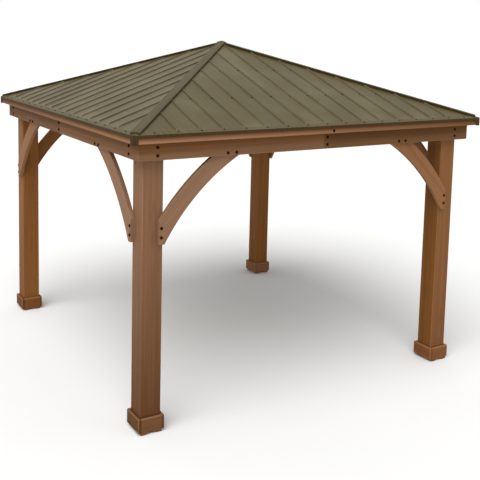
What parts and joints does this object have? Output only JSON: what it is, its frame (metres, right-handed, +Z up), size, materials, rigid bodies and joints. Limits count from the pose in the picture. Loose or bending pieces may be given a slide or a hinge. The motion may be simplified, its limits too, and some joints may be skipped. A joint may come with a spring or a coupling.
{
  "type": "garden gazebo",
  "caption": "Square open garden gazebo with wooden posts, double beams, curved knee braces and a low pyramid roof of ribbed metal sheet.",
  "frame": {"origin": "on the ground, under the middle of the roof", "axes": "+Z up, -Y out of the front, +X to the right of someone who faces the front"},
  "size_m": [3.64, 3.64, 3.1105],
  "materials": {
    "post_wood": "stained cedar, satin, upright grain",
    "beam_wood": "stained cedar, satin, grain along the board",
    "fascia_wood": "stained cedar, lighter, satin",
    "rafter_wood": "stained cedar, satin, grain along the board",
    "roof_metal": "satin paint on ribbed sheet",
    "trim_metal": "satin paint on folded sheet"
  },
  "bodies": {
    "root": {"post_front_left": "post_wood", "plinth_front_left": "post_wood", "post_front_right": "post_wood", "plinth_front_right": "post_wood", "post_back_left": "post_wood", "plinth_back_left": "post_wood", "post_back_right": "post_wood", "plinth_back_right": "post_wood", "outer_beam_front": "beam_wood", "inner_beam_front": "beam_wood", "outer_beam_back": "beam_wood", "inner_beam_back": "beam_wood", "outer_beam_left": "beam_wood", "inner_beam_left": "beam_wood", "outer_beam_right": "beam_wood", "inner_beam_right": "beam_wood", "brace_front_left": "beam_wood", "brace_front_right": "beam_wood", "brace_back_left": "beam_wood", "brace_back_right": "beam_wood", "brace_left_front": "beam_wood", "brace_left_back": "beam_wood", "brace_right_front": "beam_wood", "brace_right_back": "beam_wood", "fascia_front": "fascia_wood", "fascia_back": "fascia_wood", "fascia_left": "fascia_wood", "fascia_right": "fascia_wood", "hip_rafters": "rafter_wood", "centre_rafters": "rafter_wood", "lower_purlins": "rafter_wood", "upper_purlins": "rafter_wood", "king_block": "rafter_wood", "roof_sheet_front": "roof_metal", "eave_trim_front": "trim_metal", "roof_sheet_back": "roof_metal", "eave_trim_back": "trim_metal", "roof_sheet_left": "roof_metal", "eave_trim_left": "trim_metal", "roof_sheet_right": "roof_metal", "eave_trim_right": "trim_metal", "hip_cap_front_left": "roof_metal", "hip_cap_front_right": "roof_metal", "hip_cap_back_left": "roof_metal", "hip_cap_back_right": "roof_metal", "peak_cap": "roof_metal", "corner_caps": "trim_metal"}
  },
  "joints": []
}
